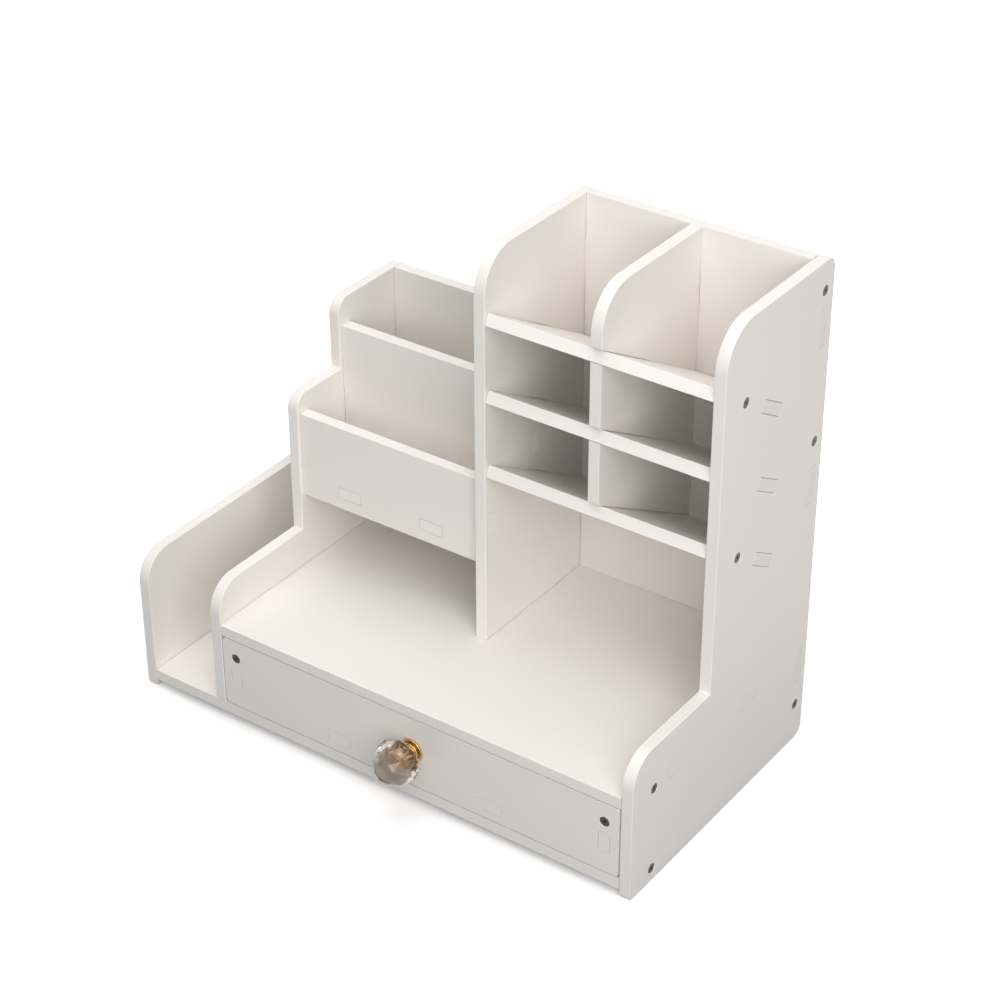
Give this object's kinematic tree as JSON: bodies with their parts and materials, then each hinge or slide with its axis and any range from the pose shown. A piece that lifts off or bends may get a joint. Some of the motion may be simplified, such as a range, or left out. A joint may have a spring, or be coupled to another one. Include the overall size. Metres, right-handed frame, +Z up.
{
  "type": "desk organizer with drawer",
  "caption": "Desk organizer of slotted white boards with a book bay, a stepped pen box, a tower of inclined marker shelves and a wide drawer with a crystal knob.",
  "frame": {"origin": "on the floor, under the middle of the whole object's box", "axes": "+Z up, +X to the right as seen from the front, the drawer opens towards -Y"},
  "size_m": [0.3882, 0.236, 0.35],
  "materials": {
    "white_board": "satin white foamed plastic board with cut edges",
    "dark_screw": "dark bronze plated steel",
    "brass": "polished",
    "crystal": "clear cut crystal"
  },
  "bodies": {
    "frame": {"base_board": "white_board", "platform_board": "white_board", "left_end_panel": "white_board", "middle_panel": "white_board", "tower_left_panel": "white_board", "tower_divider": "white_board", "right_side_panel": "white_board", "marker_shelf_top": "white_board", "marker_shelf_middle": "white_board", "marker_shelf_bottom": "white_board", "tower_back_panel": "white_board", "middle_back_panel": "white_board", "book_bay_back_panel": "white_board", "pen_box_front_wall": "white_board", "pen_box_middle_wall": "white_board", "pen_box_floor": "white_board", "screw_right_base": "dark_screw", "screw_right_platform": "dark_screw", "screw_right_shelf_bottom": "dark_screw", "screw_right_shelf_top": "dark_screw", "screw_right_back_low": "dark_screw", "screw_right_back_middle": "dark_screw", "screw_right_back_high": "dark_screw", "screw_left_end_base": "dark_screw", "screw_left_end_back": "dark_screw", "screw_middle_platform": "dark_screw", "screw_middle_back": "dark_screw", "screw_tower_shelf_bottom": "dark_screw", "screw_tower_shelf_top": "dark_screw", "screw_tower_back": "dark_screw"},
    "drawer": {"drawer_front": "white_board", "drawer_back": "white_board", "drawer_left_side": "white_board", "drawer_right_side": "white_board", "drawer_floor": "white_board", "knob_base": "brass", "knob_crystal": "crystal", "knob_screw": "dark_screw", "screw_drawer_front_left": "dark_screw", "screw_drawer_front_right": "dark_screw", "screw_drawer_back_left": "dark_screw", "screw_drawer_back_right": "dark_screw"}
  },
  "joints": [
    {"name": "drawer_slide", "type": "slide", "parent": "frame", "child": "drawer", "axis": [0, -1, 0], "range_m": [0, 0.15]}
  ]
}
